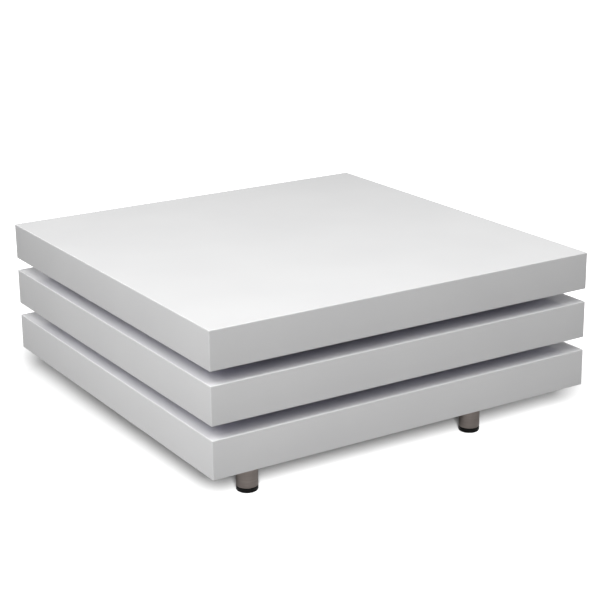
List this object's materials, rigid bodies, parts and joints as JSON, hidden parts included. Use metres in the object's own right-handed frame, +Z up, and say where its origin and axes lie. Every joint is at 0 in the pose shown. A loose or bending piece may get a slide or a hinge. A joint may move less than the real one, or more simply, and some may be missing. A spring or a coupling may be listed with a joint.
{
  "type": "swivel coffee table",
  "caption": "Low square coffee table of stacked white gloss slabs on short steel tube legs, whose upper slabs swivel all the way round on hidden ball bearings.",
  "frame": {"origin": "on the floor, under the centre of the slabs", "axes": "+Z up, front face at -Y, +X to the right seen from the front; the swivel axis stands off-centre towards +X +Y"},
  "size_m": [0.8, 0.8, 0.37],
  "materials": {
    "white_lacquer": "white high-gloss lacquer on fibreboard, clear coat, faint orange peel",
    "raw_board": "bare medium-density fibreboard",
    "leg_steel": "brushed around the tube, satin nickel tone",
    "zinc_steel": "bright zinc plating on pressed steel",
    "bearing_steel": "ground and hardened steel",
    "black_plastic": "black moulded polyethylene, fine grain",
    "nylon": "natural nylon"
  },
  "bodies": {
    "base": {"base_casing": "white_lacquer", "base_bottom_board": "white_lacquer", "base_core": "raw_board", "base_swivel_block": "raw_board", "base_leg_blocks": "raw_board", "front_left_leg_tube": "leg_steel", "front_left_leg_plate": "zinc_steel", "front_left_leg_glide": "black_plastic", "front_right_leg_tube": "leg_steel", "front_right_leg_plate": "zinc_steel", "front_right_leg_glide": "black_plastic", "back_left_leg_tube": "leg_steel", "back_left_leg_plate": "zinc_steel", "back_left_leg_glide": "black_plastic", "back_right_leg_tube": "leg_steel", "back_right_leg_plate": "zinc_steel", "back_right_leg_glide": "black_plastic", "leg_screws": "zinc_steel", "lower_swivel_base_plate": "zinc_steel", "lower_swivel_pin": "bearing_steel", "lower_swivel_washer": "zinc_steel", "lower_swivel_circlip": "bearing_steel", "lower_swivel_bolts": "zinc_steel"},
    "middle_slab": {"middle_casing": "white_lacquer", "middle_bottom_board": "white_lacquer", "middle_core": "raw_board", "middle_lower_block": "raw_board", "middle_upper_block": "raw_board", "lower_swivel_top_plate": "zinc_steel", "lower_swivel_bush": "nylon", "lower_swivel_spacer": "white_lacquer", "lower_swivel_screws": "zinc_steel", "upper_swivel_base_plate": "zinc_steel", "upper_swivel_pin": "bearing_steel", "upper_swivel_washer": "zinc_steel", "upper_swivel_circlip": "bearing_steel", "upper_swivel_bolts": "zinc_steel"},
    "top_slab": {"top_casing": "white_lacquer", "top_bottom_board": "white_lacquer", "top_core": "raw_board", "top_swivel_block": "raw_board", "upper_swivel_top_plate": "zinc_steel", "upper_swivel_bush": "nylon", "upper_swivel_spacer": "white_lacquer", "upper_swivel_screws": "zinc_steel"},
    "lower_ball_cage": {"lower_swivel_cage": "nylon", "lower_swivel_balls": "bearing_steel"},
    "upper_ball_cage": {"upper_swivel_cage": "nylon", "upper_swivel_balls": "bearing_steel"}
  },
  "joints": [
    {"name": "lower_swivel", "type": "hinge", "parent": "base", "child": "middle_slab", "pos_m": [0.15, 0.15, 0.19], "axis": [0, 0, 1], "continuous": true},
    {"name": "upper_swivel", "type": "hinge", "parent": "middle_slab", "child": "top_slab", "pos_m": [0.15, 0.15, 0.285], "axis": [0, 0, 1], "continuous": true},
    {"name": "lower_cage_spin", "type": "hinge", "parent": "base", "child": "lower_ball_cage", "pos_m": [0.15, 0.15, 0.185], "axis": [0, 0, 1], "continuous": true},
    {"name": "upper_cage_spin", "type": "hinge", "parent": "middle_slab", "child": "upper_ball_cage", "pos_m": [0.15, 0.15, 0.28], "axis": [0, 0, 1], "continuous": true}
  ],
  "couplings": [
    {"joint": "lower_cage_spin", "follows": "lower_swivel", "ratio": 0.5},
    {"joint": "upper_cage_spin", "follows": "upper_swivel", "ratio": 0.5}
  ]
}
